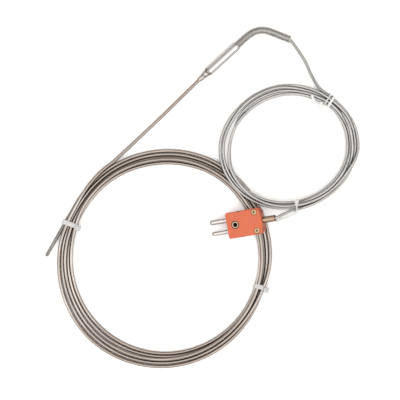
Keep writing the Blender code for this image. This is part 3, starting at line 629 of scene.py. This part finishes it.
def eyelet_painted_shade(n, tone):
    """Painted shade in the bore and round the outer edge."""
    x, y, _ = n.plug_axes()
    from_axis = n.from_eyelet(x, y)
    # Painted shade: near black in the bore, dark round the outer edge
    bore_shade = n.step(from_axis, 2.15, -0.25)
    n.dull(bore_shade)
    tone = n.blend(n.step(from_axis, 3.1, 0.4), tone, (0.05, 0.03, 0.02), 0.85)
    return n.blend(bore_shade, tone, (0.004, 0.003, 0.003))


def painted_shade_bands(*bands, lines=()):
    """Painted shade down the tube's sides and in bands at the given (start, end) in mm along the UV
    map, over the turned grooves and chamfers, and drawn lines.

    lines holds (share of the way round, half width, strength) of painted dark reflection lines
    along the tube."""
    def mark(n, tone):
        along, share, _ = n.axes("UV")
        # Painted shade down both sides of the tube
        tone = n.blend(n.away(share, 0.25, 0.165, 0.04), tone, (0.06, 0.05, 0.045), 0.8)
        # Painted shade in bands over the turned grooves and chamfers
        for start, end in bands:
            inside = n.math("MULTIPLY", n.step(along, start, 0.3), n.step(along, end, -0.3))
            tone = n.blend(inside, tone, (0.07, 0.055, 0.05), 0.75)
        # Painted dark reflection lines along the tube
        for middle, half, strength in lines:
            inside = n.away(share, middle, half, -0.012)
            tone = n.blend(inside, tone, (0.11, 0.085, 0.072), strength)
        return tone
    return mark


def sheath_steel():
    """Drawn stainless tube: fine lines along it, a warm grey, with painted shade, darker and
    browner, at the coil's ends.
    """
    n = Nodes("sheath_steel")
    lines = n.noise(n.place("UV", (0.05, 26.0, 1.0)), 4.0)
    stains = n.noise(n.place("UV", (0.018, 1.5, 1.0)), 3.0)
    mixed = n.math("ADD", n.math("MULTIPLY", lines, 0.45), n.math("MULTIPLY", stains, 0.55))
    tone = n.ramp(mixed, [(0.32, (0.225, 0.192, 0.171)), (0.50, (0.31, 0.276, 0.25)),
                          (0.68, (0.50, 0.46, 0.43))])
    # Painted shade where the strands run across, at the coil's top and bottom
    coil_end_shade = n.away(n.axes("Object")[1], COIL_CENTRE.y, 0.062, 0.035)
    tone = n.blend(coil_end_shade, tone, (0.205, 0.160, 0.134), 0.55)
    tip = n.step(n.axes("UV")[0], TIP_SHADE_START, 12.0)
    tone = n.blend(tip, tone, (0.150, 0.140, 0.129))
    # Painted shade: near black in the grooves between strands, dark brown on the undersides
    n.paint_groove_and_underside_shade(tone, (0.017, 0.0073, 0.0042), (0.066, 0.043, 0.031), 0.92)
    n.set(Roughness=n.spread(mixed, 0.15, 0.25))
    n.bump(lines, 0.12, 0.02)
    return n.material


def braid():
    """Woven steel wires: two families of bands that cross the lead at an angle."""
    band_length, bands_round = 2.4, 6.0
    n = Nodes("steel_braid")
    walked, share, _ = n.axes("UV")
    along = n.math("MULTIPLY", walked, 1 / band_length)
    round_it = n.math("MULTIPLY", share, bands_round)
    left = n.math("FRACT", n.math("ADD", along, round_it))
    right = n.math("FRACT", n.math("SUBTRACT", along, round_it))
    heights = []
    for family in (left, right):
        centred = n.math("ABSOLUTE", n.math("SUBTRACT", family, 0.5))
        heights.append(n.math("SUBTRACT", 1.0, n.math("MULTIPLY", centred, 2.0)))
    over = n.math("GREATER_THAN", *heights)
    top = n.math("MAXIMUM", *heights)
    phase = n.math("ADD", left, n.math("MULTIPLY", over, 0.3))
    wires = n.math("SINE", n.math("MULTIPLY", phase, 31.4))
    relief = n.math("ADD", top, n.math("MULTIPLY", wires, 0.08))
    grime = n.noise(n.place("UV", (0.08, 2.0, 1.0)), 3.0)
    shade = n.math("ADD", n.math("MULTIPLY", top, 0.75), n.math("MULTIPLY", grime, 0.25))
    tone = n.ramp(shade, [(0.36, (0.102, 0.0952, 0.0918)), (0.60, (0.34, 0.33, 0.323)),
                          (0.85, (0.53, 0.52, 0.513))])
    tone = n.blend(n.step(walked, 138.0, -20.0), tone, (0.12, 0.115, 0.11), 0.4)
    # Painted shade: near black in the grooves between strands, dark grey on the undersides
    n.paint_groove_and_underside_shade(tone, (0.0165, 0.0115, 0.0095), (0.055, 0.048, 0.045), 0.9)
    n.set(Roughness=n.spread(shade, 0.45, 0.3))
    n.bump(relief, 0.6, 0.12)
    return n.material


# Finishes with a fine grain: dark and light colours, roughness range, metallic, grain scale
GRAINED = {
    "tip_steel": [(0.146, 0.135, 0.124), (0.248, 0.234, 0.219), (0.38, 0.52), 1.0, 900],
    "neck_steel": [(0.292, 0.266, 0.248), (0.409, 0.38, 0.358), (0.2, 0.34), 1.0, 900],
    "polished_steel": [(0.52, 0.505, 0.495), (0.60, 0.585, 0.575), (0.06, 0.12), 1.0, 500],
    "spring_steel": [(0.285, 0.275, 0.262), (0.42, 0.405, 0.39), (0.2, 0.32), 1.0, 700],
    "brass": [(0.321, 0.219, 0.117), (0.482, 0.365, 0.226), (0.26, 0.42), 1.0, 900],
    "ferrule_brass": [(0.263, 0.179, 0.12), (0.409, 0.307, 0.226), (0.3, 0.45), 1.0, 900],
    "pin_alloy": [(0.38, 0.347, 0.329), (0.496, 0.46, 0.442), (0.16, 0.3), 1.0, 900],
    "eyelet_metal": [(0.263, 0.19, 0.146), (0.409, 0.314, 0.256), (0.2, 0.34), 0.9, 900],
    "thermo_alloy": [(0.336, 0.307, 0.285), (0.511, 0.482, 0.453), (0.25, 0.4), 1.0, 1500],
    "mineral_powder": [(0.569, 0.562, 0.54), (0.694, 0.686, 0.672), (0.85, 0.98), 0.0, 4000],
    "potting_resin": [(0.0256, 0.0219, 0.0204), (0.0511, 0.0438, 0.0401), (0.3, 0.5), 0.0, 600],
    "wire_insulation": [(0.526, 0.511, 0.467), (0.628, 0.613, 0.569), (0.5, 0.65), 0.0, 1200],
    "orange_thermoplastic": [(0.39, 0.070, 0.019), (0.48, 0.089, 0.027), (0.38, 0.52), 0.0, 1400],
    "clear_nylon": [(0.409, 0.405, 0.402), (0.54, 0.537, 0.533), (0.25, 0.4), 0.0, 700],
    "white_plastic": [(0.511, 0.515, 0.511), (0.628, 0.628, 0.624), (0.35, 0.5), 0.0, 900],
}
# What some of them have besides
GRAINED_EXTRAS = {
    "neck_steel": {"marks": [painted_shade_bands((6.1, 6.7), (10.2, 11.4))]},
    "polished_steel": {"bump": (0.04, 0.01),
                       "marks": [painted_shade_bands((-1.0, 1.1), (36.9, 37.3), lines=SLEEVE_REFLECTION_LINES)]},
    "brass": {"marks": [screw_slot_shade]},
    "ferrule_brass": {"marks": [ferrule_marks]},
    "pin_alloy": {"marks": [pin_marks]},
    "eyelet_metal": {"marks": [eyelet_painted_shade]},
    "mineral_powder": {"bump": (0.6, 0.06)},
    "orange_thermoplastic": {"bump": (0.12, 0.03), "marks": [plug_painted_shade]},
    "clear_nylon": {"Transmission_Weight": 0.2, "IOR": 1.53},
}


def make_materials():
    finishes = {name: grained(name, *values, **GRAINED_EXTRAS.get(name, {}))
                for name, values in GRAINED.items()}
    return {"sheath_steel": sheath_steel(), "steel_braid": braid(), **finishes}


# ---------------------------------------------------------------- pieces
def build_strands(name, path, diameter, reach, finish):
    """One cable as an unbroken cord along its whole route."""
    mesh = sweep(name, path, circle(diameter / 2, 24))
    # Masks for the painted shade in grooves and on undersides
    mark_shade_masks(mesh, path, diameter / 2, reach)
    return add_piece(name, mesh, finish, "root")


def build_cords(finishes):
    """The metal sheath with its tip, and the braided lead with its plug."""
    sheath_path, lead_path = sheath_route(), lead_route()
    sheath = build_strands("probe_sheath", sheath_path, SHEATH_D, SHEATH_GROOVE_REACH,
                           finishes["sheath_steel"])
    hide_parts("sheath_coil", "sheath_run")
    lead = build_strands("braided_lead", lead_path, LEAD_D, LEAD_GROOVE_REACH,
                         finishes["steel_braid"])
    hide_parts("lead_run", "lead_coil", "lead_tail")
    return sheath_path, lead_path


def bundle_section(path, centre, angle, flattening, radius):
    """Lowest and highest radius and height of a coil's strands where they pass an angle."""
    half_window, hub = math.radians(2.5), 0.05
    found = []
    for point in path:
        dx, dy = point.x - centre[0], (point.y - centre[1]) / flattening
        off = (math.atan2(dy, dx) - angle + math.pi) % (2 * math.pi) - math.pi
        if abs(off) < half_window and math.hypot(dx, dy) > hub:
            found.append((math.hypot(point.x - centre[0], point.y - centre[1]), point.z))
    rs, zs = zip(*found)
    return min(rs) - radius, max(rs) + radius, min(zs) - radius, max(zs) + radius


def local_frame(centre, angle, flattening, middle_r, z):
    """A matrix whose x points outwards across a coil, y along it and z up."""
    across = Vector((math.cos(angle), flattening * math.sin(angle), 0)).normalized()
    tangent = Vector((-math.sin(angle), flattening * math.cos(angle), 0)).normalized()
    outward = tangent.cross(Vector((0, 0, 1)))
    place = Vector((centre[0], centre[1], 0)) + across * middle_r + Vector((0, 0, z))
    matrix = Matrix((outward, tangent, (0, 0, 1))).transposed().to_4x4()
    matrix.translation = place
    return matrix


def box_rings(low, high, edge):
    """Rings of a rounded block, from its low y end to its high y end."""
    half_x, half_z = (high[0] - low[0]) / 2, (high[2] - low[2]) / 2
    middle = Vector(((low[0] + high[0]) / 2, 0, (low[2] + high[2]) / 2))
    rings = []
    for y, inset in ((low[1], edge), (low[1] + edge * 0.3, edge * 0.3), (low[1] + edge, 0),
                     (high[1] - edge, 0), (high[1] - edge * 0.3, edge * 0.3), (high[1], edge)):
        outline = rounded_rectangle(half_x - inset, half_z - inset, edge, 3)
        rings.append([middle + Vector((x, y, z)) for x, z in outline])
    return rings


def merged(name, parts):
    """One mesh from several, each a closed shell of its own."""
    bm = bmesh.new()
    for part in parts:
        bm.from_mesh(part)
    mesh = bpy.data.meshes.new(name)
    bm.to_mesh(mesh)
    bm.free()
    mesh.shade_smooth()
    mesh.set_sharp_from_angle(angle=math.radians(40))
    return mesh


def build_cable_tie(name, path, angle, head_side, shift, finishes):
    """A nylon strap pulled tight round the strands, its locking head and its cut tail."""
    low_r, high_r, low_z, high_z = bundle_section(path, COIL_CENTRE, angle, 1, SHEATH_D / 2)
    placing = local_frame(COIL_CENTRE, angle, 1, (low_r + high_r) / 2, (low_z + high_z) / 2)
    half_w, half_h = (high_r - low_r) / 2 + 0.1 * MM, (high_z - low_z) / 2 + 0.1 * MM
    middle = TIE_THICKNESS / 2
    corner = SHEATH_D / 2 + middle
    loop = [Vector((x, 0, z)) for x, z in
            rounded_rectangle(half_w + middle, half_h + middle, corner, 6)]
    strap = sweep(name + "_strap", loop, rounded_rectangle(middle, TIE_WIDTH / 2, 0.3 * MM, 2),
                  closed=True, first_up=(0, 1, 0))
    outer, inner = half_w + TIE_THICKNESS + 2.6 * MM, half_w - 1.4 * MM
    half_y = TIE_WIDTH / 2 + 0.4 * MM
    top, skirt = half_h + TIE_THICKNESS + 2.4 * MM, half_w + TIE_THICKNESS * 0.7
    blocks = [((inner, -half_y, half_h + 0.3 * MM), (outer, half_y, top), 0.7 * MM),
              ((skirt, -half_y, -1.4 * MM), (outer, half_y, half_h + 1.5 * MM), 0.7 * MM),
              ((skirt + 0.5 * MM, 0.5 * MM - TIE_WIDTH / 2, top - 1 * MM),
               (skirt + 1.7 * MM, TIE_WIDTH / 2 - 0.5 * MM, top + 0.8 * MM), 0.25 * MM)]
    parts = []
    for low, high, edge in blocks:
        if head_side < 0:
            low, high = (-high[0], *low[1:]), (-low[0], *high[1:])
        low, high = (low[0], low[1] + shift, low[2]), (high[0], high[1] + shift, high[2])
        parts.append(grid_mesh(name + "_block", box_rings(low, high, edge)))
    rib_x, rib_y, face = 0.28 * MM, TIE_WIDTH / 2 - 0.9 * MM, half_h + TIE_THICKNESS
    for i in range(7):
        x = (i - 3) * half_w * 0.27
        parts.append(grid_mesh(name + "_rib", box_rings(
            (x - rib_x, -rib_y, face - 0.2 * MM), (x + rib_x, rib_y, face + 0.16 * MM), 0.1 * MM)))
    mesh = merged(name + "_nylon", [strap, *parts])
    mesh.transform(placing)
    tie = add_piece(name + "_nylon", mesh, finishes["clear_nylon"], "root")
    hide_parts(name)


def build_twist_tie(name, path, angle, turns, advance, tails, finishes):
    """A flat white tie with a wire in it, wound round the lead's strands, ends twisted and bent."""
    centre = LEAD_COIL_CENTRE
    low_r, high_r, low_z, high_z = bundle_section(path, centre, angle, LEAD_COIL_FLATTENING,
                                                  LEAD_D / 2)
    placing = local_frame(centre, angle, LEAD_COIL_FLATTENING, (low_r + high_r) / 2,
                          (low_z + high_z) / 2)
    half_w, half_h = (high_r - low_r) / 2 + 0.6 * MM, (high_z - low_z) / 2 + 0.6 * MM
    loop = rounded_rectangle(half_w, half_h, LEAD_D / 2 + 0.4 * MM, 4)
    count = turns * len(loop) + 1
    wound_part = []
    for i in range(count):
        x, z = loop[(i + len(loop) // 2 + 2) % len(loop)]
        wound_part.append(placing @ Vector((x, advance * (0.5 - i / (count - 1)), z)))
    half = [(1.0, 0.0), (0.8, 0.22), (0.35, 0.26), (0.2, 0.44), (-0.2, 0.44), (-0.35, 0.26),
            (-0.8, 0.22)]
    ribbon = half + [(-x, -y) for x, y in half]
    outline = [(1.3 * x * MM, 1.2 * y * MM) for x, y in ribbon]
    parts = [sweep(name + "_wrap", smooth_route(wound_part, 0.5 * MM), outline)]
    for start, tail in zip((wound_part[0], wound_part[-1]), tails):
        route = [start, *(Vector(p) * MM for p in tail)]
        parts.append(sweep(name + "_tail", smooth_route(route, 0.5 * MM), outline))
    tie = add_piece(name + "_ribbon", merged(name + "_ribbon", parts), finishes["white_plastic"],
                    "root")
    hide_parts(name)


def turned_mesh(name, outline, steps=48):
    """A closed outline of (mm along, radius in mm) turned about the pot's axis."""
    across, up = Vector((-math.sin(POT_HEADING), math.cos(POT_HEADING), 0)), Vector((0, 0, 1))
    spokes = [across * math.cos(2 * math.pi * i / steps) + up * math.sin(2 * math.pi * i / steps)
              for i in range(steps)]
    rings = [[pot_point(along * MM) + radius * MM * spoke for spoke in spokes]
             for along, radius in outline]
    mesh = grid_mesh(name, rings, closed=True)
    layer = mesh.uv_layers[0].data
    start = min(along for along, _ in outline)
    heading = Vector((math.cos(POT_HEADING), math.sin(POT_HEADING), 0))
    for loop in mesh.loops:
        walked = (mesh.vertices[loop.vertex_index].co - POT_START).dot(heading) / MM
        layer[loop.index].uv = (walked - start, layer[loop.index].uv[1])
    return mesh


def build_pot(finishes):
    """The sleeve, chamfered at the neck and swaged at the spring, and the grooved neck."""
    barrel = [(0.9 + 0.15 * i if i < 3 else 1.2 + 3.54 * (i - 2), 4.35) for i in range(12)]
    sleeve = [(0.0, 3.85), (0.0, 4.0), (0.5, 4.3), *barrel, (36.75, 4.35), (36.9, 4.35),
              (37.05, 4.2), (37.25, 4.2), (37.4, 4.42), (37.95, 4.42), (38.1, 4.3), (38.1, 3.85)]
    piece = add_piece("sleeve_polished", turned_mesh("sleeve_polished", sleeve),
                      finishes["polished_steel"], "root")
    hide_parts("pot_sleeve")
    neck = [(-12.0, 1.9), (-12.0, 2.15), (-11.8, 2.3), (-6.3, 2.62), (-6.0, 2.45), (-5.7, 2.45),
            (-5.4, 2.85), (-1.9, 3.35), (-1.5, 3.1), (-1.1, 3.1), (-0.8, 4.0), (0.0, 4.1),
            (0.0, 3.5), (2.6, 3.5), (2.6, 1.9)]
    piece = add_piece("neck_turned", turned_mesh("neck_turned", neck), finishes["neck_steel"],
                      "root")
    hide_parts("neck_reducer")


def build_spring(finishes):
    """The relief spring as its flattened wire, close wound, and a ring that closes it."""
    wire, pitch, per_turn = 0.9 * MM, 0.92 * MM, 20
    knots = [pot_point(BUSH_END + 0.3 * MM), *(Vector(p) * MM for p in SPRING_ROUTE_MM)]
    route = smooth_route(knots, 0.5 * MM)
    places = np.array(route, float)
    walked = walked_along(places)
    at = np.linspace(0, walked[-1], round(walked[-1] / pitch * per_turn))
    centre, side, up = (resampled(at, walked, values) for values in (places, *transport(route)))
    turn = at / pitch * 2 * math.pi
    radius = SPRING_R - wire / 2
    line = centre + radius * (np.cos(turn)[:, None] * side + np.sin(turn)[:, None] * up)
    mesh = sweep("spring_wound", line, rounded_rectangle(wire / 2, wire * 0.46, wire * 0.25, 2),
                 first_up=(route[1] - route[0]).normalized())
    end, heading = route[-1], (route[-1] - route[-2]).normalized()
    side = heading.cross(Vector((0, 0, 1))).normalized()
    ring = [end + (SPRING_R - 0.1 * MM) * (side * math.cos(math.pi * i / 20)
                                          + side.cross(heading) * math.sin(math.pi * i / 20))
            for i in range(40)]
    closing = sweep("spring_end", ring, circle(0.6 * MM, 12), closed=True, first_up=heading)
    mesh = merged("relief_spring_wire", [mesh, closing])
    spring = add_piece("relief_spring_wire", mesh, finishes["spring_steel"], "root")
    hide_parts("relief_spring")


def paint_nodes(finishes):
    """Every CAD node gets the finish of its material slot."""
    slots = {p["node"]: p["material_slot"] for p in frame["record"]["subparts"]}
    for name, node in frame["nodes"].items():
        finish = finishes[slots[name]]
        if name == "cable_ferrule":
            finish = finishes["ferrule_brass"]
        node.data.materials.clear()
        node.data.materials.append(finish)


# ---------------------------------------------------------------- studio
def build_floor():
    """A plain pale floor, a little lit from within so that it stays white."""
    half = 6.0
    mesh = bpy.data.meshes.new("floor")
    mesh.from_pydata([(-half, -half, 0), (half, -half, 0), (half, half, 0), (-half, half, 0)], [],
                     [(0, 1, 2, 3)])
    floor = bpy.data.objects.new("floor", mesh)
    bpy.context.scene.collection.objects.link(floor)
    mesh.materials.append(grained("floor_white", (0.84, 0.84, 0.84), (0.88, 0.88, 0.88), (0.8, 0.9),
                                  0.0, 60, bump=(0.02, 0.01), Emission_Color=(1, 1, 1, 1),
                                  Emission_Strength=0.04))


def build_sky():
    """A large soft box overhead, wide from left to right, with a dark frame on its far side."""
    world = bpy.data.worlds.new("studio")
    bpy.context.scene.world = world
    world.use_nodes = True
    tree = world.node_tree

    def node(kind, operation, *values):
        made = tree.nodes.new(kind)
        if operation:
            made.operation = operation
        for socket, value in zip(made.inputs, values):
            if isinstance(value, bpy.types.NodeSocket):
                tree.links.new(value, socket)
            else:
                socket.default_value = value
        return made.outputs[0]

    def window(value, inner, outer):
        """1 below inner, 0 above outer, smooth between."""
        made = tree.nodes.new("ShaderNodeMapRange")
        made.interpolation_type = "SMOOTHSTEP"
        tree.links.new(value, made.inputs["Value"])
        limits = {"From Min": inner, "From Max": outer, "To Min": 1, "To Max": 0}
        for name, number in limits.items():
            made.inputs[name].default_value = number
        return made.outputs[0]

    split = tree.nodes.new("ShaderNodeSeparateXYZ")
    tree.links.new(tree.nodes.new("ShaderNodeTexCoord").outputs["Generated"], split.inputs[0])
    x, y, z = split.outputs
    half_width, far_side, near_side = SOFT_BOX
    high = node("ShaderNodeMath", "MAXIMUM", z, 0.02)
    p, q = node("ShaderNodeMath", "DIVIDE", x, high), node("ShaderNodeMath", "DIVIDE", y, high)
    sideways = window(node("ShaderNodeMath", "ABSOLUTE", p), half_width, half_width + 0.4)
    nearer = node("ShaderNodeMath", "MULTIPLY", q, -1.0)
    depth = node("ShaderNodeMath", "MULTIPLY", window(q, far_side, far_side + 0.12),
                 window(nearer, near_side, near_side + 0.5))
    box = node("ShaderNodeMath", "MULTIPLY", sideways, depth)
    from_frame = node("ShaderNodeMath", "ABSOLUTE",
                      node("ShaderNodeMath", "SUBTRACT", q, far_side + 0.24))
    rim = node("ShaderNodeMath", "MULTIPLY", sideways, window(from_frame, 0.07, 0.15))
    ramp = tree.nodes.new("ShaderNodeValToRGB")
    tree.links.new(z, ramp.inputs["Fac"])
    elements = ramp.color_ramp.elements
    elements.new(0.5)
    for element, (place, colour) in zip(elements, SKY):
        element.position, element.color = place, (*colour, 1)
    sky = ramp.outputs["Color"]
    for factor, colour in ((rim, FRAME_COLOUR), (box, BOX_COLOUR)):
        mix = tree.nodes.new("ShaderNodeMix")
        mix.data_type = "RGBA"
        tree.links.new(factor, mix.inputs["Factor"])
        colours = [socket for socket in mix.inputs if socket.type == "RGBA"]
        tree.links.new(sky, colours[0])
        colours[1].default_value = (*colour, 1)
        sky = next(socket for socket in mix.outputs if socket.type == "RGBA")
    background = tree.nodes["Background"]
    tree.links.new(sky, background.inputs["Color"])
    background.inputs["Strength"].default_value = SKY_STRENGTH


def build_studio():
    """Floor and sky, shown without a film look."""
    bpy.context.scene.view_settings.view_transform = "Standard"
    bpy.context.scene.view_settings.look = "None"
    build_floor()
    build_sky()


place_camera()
FINISHES = make_materials()
paint_nodes(FINISHES)
SHEATH_PATH, LEAD_PATH = build_cords(FINISHES)
build_pot(FINISHES)
build_spring(FINISHES)
build_cable_tie("cable_tie_left", SHEATH_PATH, math.radians(159.6), -1, 0.9 * MM, FINISHES)
build_cable_tie("cable_tie_right", SHEATH_PATH, math.radians(343.8), 1, -1.0 * MM, FINISHES)
build_twist_tie("twist_tie_upper", LEAD_PATH, math.radians(54), 2, 8.0 * MM, UPPER_TAILS, FINISHES)
build_twist_tie("twist_tie_lower", LEAD_PATH, math.radians(276), 1, 2.0 * MM, LOWER_TAILS, FINISHES)
build_studio()
